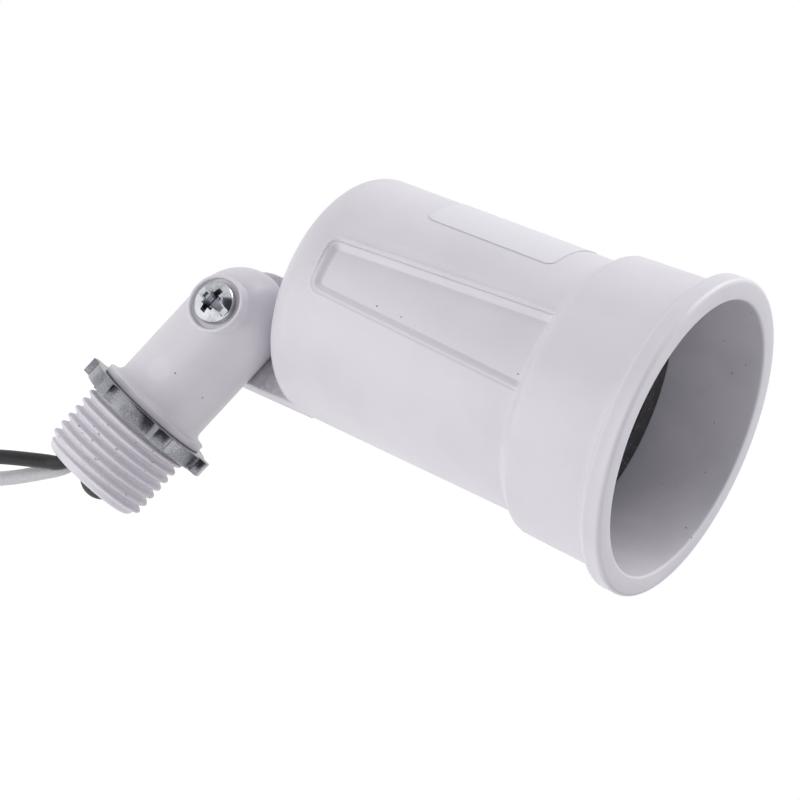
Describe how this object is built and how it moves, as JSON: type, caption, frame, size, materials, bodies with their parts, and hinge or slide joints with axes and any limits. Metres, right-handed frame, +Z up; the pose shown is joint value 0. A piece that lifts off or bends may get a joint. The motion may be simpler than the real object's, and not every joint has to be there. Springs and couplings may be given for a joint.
{
  "type": "swivel lampholder for a heat lamp",
  "caption": "White cast lampholder on a swivel arm with a threaded end, locknut and clamp screw, holding a screw-base heat lamp over poultry or small livestock.",
  "frame": {"origin": "on the axis of the arm's thread, in the plane of the locknut's outer face, where the cover of a junction box seats", "axes": "+Z up the arm from the thread to the swivel, -Z out of the threaded end; the swivel axis lies along Y with the clamp screw's head facing -Y; the lampholder points towards +X, 17.7 degrees above it at rest"},
  "size_m": [0.1213, 0.0613, 0.216],
  "materials": {
    "white_coat": "gloss",
    "bushing_rubber": "matte",
    "joint_gasket": "matte",
    "lamp_gasket": "matte",
    "cast_zinc": "matte",
    "plated_screw": "polished",
    "label": "satin",
    "porcelain": "gloss",
    "shell_brass": "satin",
    "rivet_steel": "satin",
    "terminal_brass": "satin",
    "inner_steel": "satin",
    "black_insulation": "satin",
    "white_insulation": "satin",
    "copper": "satin"
  },
  "bodies": {
    "arm": {"swivel_arm": "white_coat", "lead_bushing": "bushing_rubber", "knuckle_gasket": "joint_gasket", "black_lead": "black_insulation", "white_lead": "white_insulation", "black_lead_tip": "copper", "white_lead_tip": "copper", "black_lead_in_arm": "black_insulation", "white_lead_in_arm": "white_insulation"},
    "locknut": {"locknut": "cast_zinc"},
    "head": {"housing": "white_coat", "rating_label": "label", "lamp_gasket": "lamp_gasket", "socket_body": "porcelain", "screw_shell": "shell_brass", "shell_rivet": "rivet_steel", "shell_terminal": "terminal_brass", "contact_pad": "terminal_brass", "contact_rivet": "rivet_steel", "contact_terminal": "terminal_brass", "socket_screws": "inner_steel", "socket_washers": "inner_steel", "black_lead_in_head": "black_insulation", "white_lead_in_head": "white_insulation"},
    "contact": {"centre_contact": "terminal_brass"},
    "clamp_screw": {"clamp_screw": "plated_screw"}
  },
  "joints": [
    {"name": "head_swivel", "type": "hinge", "parent": "arm", "child": "head", "pos_m": [0, 0, 0.0246], "axis": [0, -1, 0], "range_deg": [-17.7, 142]},
    {"name": "locknut_turn", "type": "hinge", "parent": "arm", "child": "locknut", "pos_m": [0, 0, 0.0015], "axis": [0, 0, 1], "continuous": true},
    {"name": "clamp_screw_turn", "type": "hinge", "parent": "head", "child": "clamp_screw", "pos_m": [0, -0.0095, 0.0246], "axis": [0, -1, 0], "continuous": true},
    {"name": "contact_flex", "type": "hinge", "parent": "head", "child": "contact", "pos_m": [0.02655, 0.0083, 0.0422], "axis": [0, -1, 0], "range_deg": [0, 12], "stiffness_Nm_per_rad": 0.05}
  ]
}
